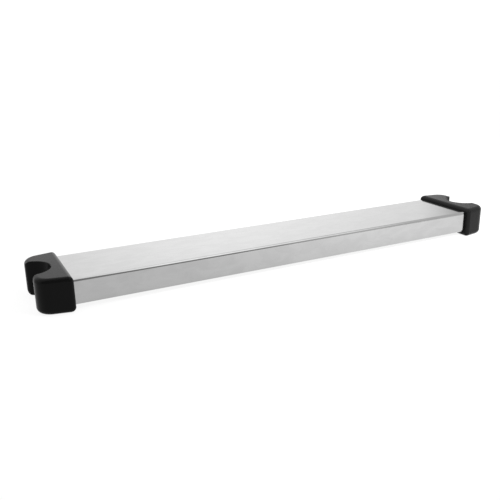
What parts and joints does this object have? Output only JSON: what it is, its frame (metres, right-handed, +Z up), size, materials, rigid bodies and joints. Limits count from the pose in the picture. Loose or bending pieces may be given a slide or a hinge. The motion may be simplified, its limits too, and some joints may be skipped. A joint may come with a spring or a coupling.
{
  "type": "magnetic nail sweeper",
  "caption": "Bar magnet sweeper for picking up nails: a flat stainless housing over ferrite magnets, with a black plastic end cap at each end, notched for hanging.",
  "frame": {"origin": "middle of the bar, on the plane of the end caps' underside", "axes": "+X along the bar towards the right end cap, -Y towards the front, +Z up"},
  "size_m": [0.61, 0.0992, 0.0392],
  "materials": {
    "housing_steel": "satin",
    "cap_plastic": "satin",
    "plate_steel": "matte",
    "ferrite": "matte",
    "foam": "matte",
    "block_plastic": "matte",
    "screw_steel": "satin"
  },
  "bodies": {
    "root": {"back_plate": "plate_steel", "cap_screw_back_left": "screw_steel", "cap_screw_back_right": "screw_steel", "cap_screw_front_left": "screw_steel", "cap_screw_front_right": "screw_steel", "end_block_left": "block_plastic", "end_block_right": "block_plastic", "end_cap_left": "cap_plastic", "end_cap_right": "cap_plastic", "foam_pad": "foam", "housing_tube": "housing_steel", "magnet_block_01": "ferrite", "magnet_block_02": "ferrite", "magnet_block_03": "ferrite", "magnet_block_04": "ferrite", "magnet_block_05": "ferrite", "magnet_block_06": "ferrite", "magnet_block_07": "ferrite", "magnet_block_08": "ferrite", "magnet_block_09": "ferrite", "magnet_block_10": "ferrite"}
  },
  "joints": []
}
